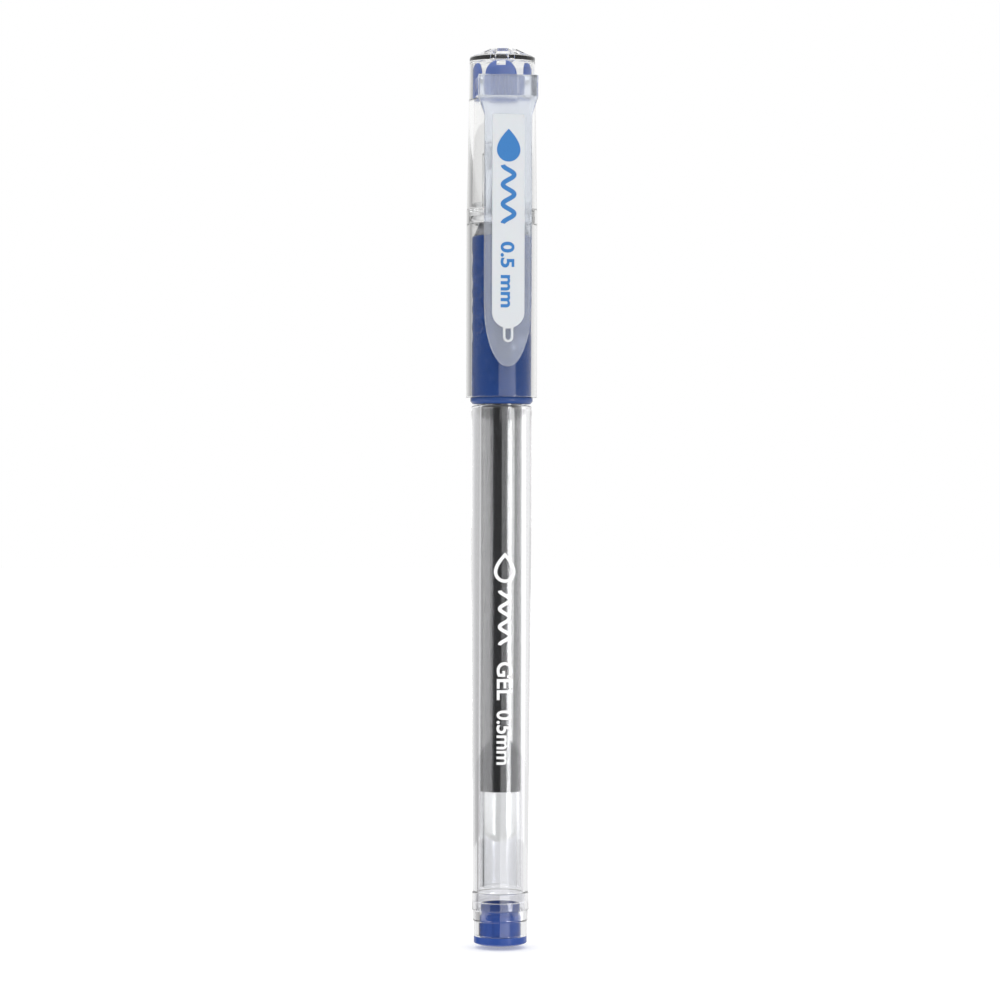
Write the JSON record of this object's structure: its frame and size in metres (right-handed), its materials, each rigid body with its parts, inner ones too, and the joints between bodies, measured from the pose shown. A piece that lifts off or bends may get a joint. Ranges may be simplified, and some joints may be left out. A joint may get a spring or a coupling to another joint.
{
  "type": "gel pen",
  "caption": "Clear-barrelled gel pen with a dimpled rubber grip, a screw-on nose cone, a refill and a clear two-part cap with a frosted pocket clip.",
  "frame": {"origin": "centre of the end plug's flat gate disc, the lowest point of the standing pen", "axes": "+Z along the pen's axis from the tail to the crown; -Y is the clip's side; +X is to the clip's right as seen from the front"},
  "size_m": [0.0118, 0.0144, 0.1496],
  "materials": {
    "clear_barrel": "clear, thick-walled, glossy",
    "clear_cap": "clear, glossy",
    "clear_inner": "clear, slightly hazy",
    "blue_plastic": "opaque blue, glossy",
    "blue_rubber": "smooth blue rubber",
    "smoke_nose": "smoky grey, half clear",
    "refill_clear": "clear tube, slightly milky",
    "ink": "near-black gel",
    "grease": "clear grease",
    "holder_plastic": "natural white plastic",
    "nib_metal": "turned nickel silver",
    "ball_metal": "polished",
    "seal_rubber": "soft pad",
    "frosted_clip": "frosted, half clear",
    "white_plate": "white, smooth"
  },
  "bodies": {
    "pen_body": {"barrel_tube": "clear_barrel", "tail_sleeve": "clear_barrel", "end_plug": "blue_plastic", "grip_collar": "blue_plastic", "grip_sleeve": "blue_rubber"},
    "refill": {"refill_tube": "refill_clear", "ink_column": "ink", "nib_holder": "holder_plastic", "nib": "nib_metal"},
    "nose": {"nose_cone": "smoke_nose"},
    "follower": {"ink_follower": "grease"},
    "valve": {"check_ball": "ball_metal"},
    "ball": {"writing_ball": "ball_metal"},
    "seal": {"tip_seal": "seal_rubber"},
    "cap": {"cap_shell": "clear_cap", "inner_cap": "clear_inner", "cap_crown": "clear_cap", "crown_insert": "blue_plastic"},
    "clip": {"clip_tongue": "frosted_clip", "clip_plate": "white_plate"}
  },
  "joints": [
    {"name": "refill_lift", "type": "slide", "parent": "pen_body", "child": "refill", "axis": [0, 0, 1], "range_m": [0, 0.0036]},
    {"name": "nose_turn", "type": "hinge", "parent": "refill", "child": "nose", "pos_m": [0, 0, 0.1185], "axis": [0, 0, 1], "range_deg": [0, 1080]},
    {"name": "cap_pull", "type": "slide", "parent": "refill", "child": "seal", "axis": [0, 0, 1], "range_m": [0, 0.06]},
    {"name": "cap_turn", "type": "hinge", "parent": "seal", "child": "cap", "pos_m": [0, 0, 0.1229], "axis": [0, 0, 1], "continuous": true},
    {"name": "clip_flex", "type": "hinge", "parent": "cap", "child": "clip", "pos_m": [0, -0.0077, 0.144], "axis": [-1, 0, 0], "range_deg": [0, 4], "stiffness_Nm_per_rad": 0.5},
    {"name": "follower_travel", "type": "slide", "parent": "refill", "child": "follower", "axis": [0, 0, 1], "range_m": [0, 0.074], "deforming": ["ink_column"]},
    {"name": "check_float", "type": "slide", "parent": "refill", "child": "valve", "axis": [0, 0, 1], "range_m": [0, 0.0003]},
    {"name": "ball_roll", "type": "hinge", "parent": "refill", "child": "ball", "pos_m": [0, 0, 0.13245], "axis": [1, 0, 0], "continuous": true}
  ],
  "couplings": [
    {"joint": "nose_turn", "follows": "refill_lift", "rad_per_m": 5236}
  ]
}
